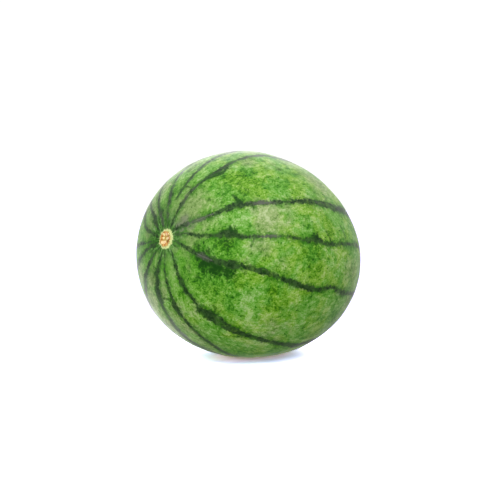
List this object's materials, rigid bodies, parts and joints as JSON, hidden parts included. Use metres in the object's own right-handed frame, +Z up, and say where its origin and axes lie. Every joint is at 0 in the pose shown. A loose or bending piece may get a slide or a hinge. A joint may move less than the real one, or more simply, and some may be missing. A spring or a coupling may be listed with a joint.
{
  "type": "whole watermelon",
  "caption": "Whole striped watermelon lying on its side on a small flattened spot, with a corky stem scar at the raised end and a small blossom scar at the far end.",
  "frame": {"origin": "on the resting surface, under the middle of the fruit's box", "axes": "+Z up; the long axis lies in the XZ plane, with the stem end towards -X and raised 12 degrees, and the blossom end towards +X"},
  "size_m": [0.2548, 0.2214, 0.2196],
  "materials": {
    "rind": "satin"
  },
  "bodies": {
    "root": {"watermelon": "rind"}
  },
  "joints": []
}
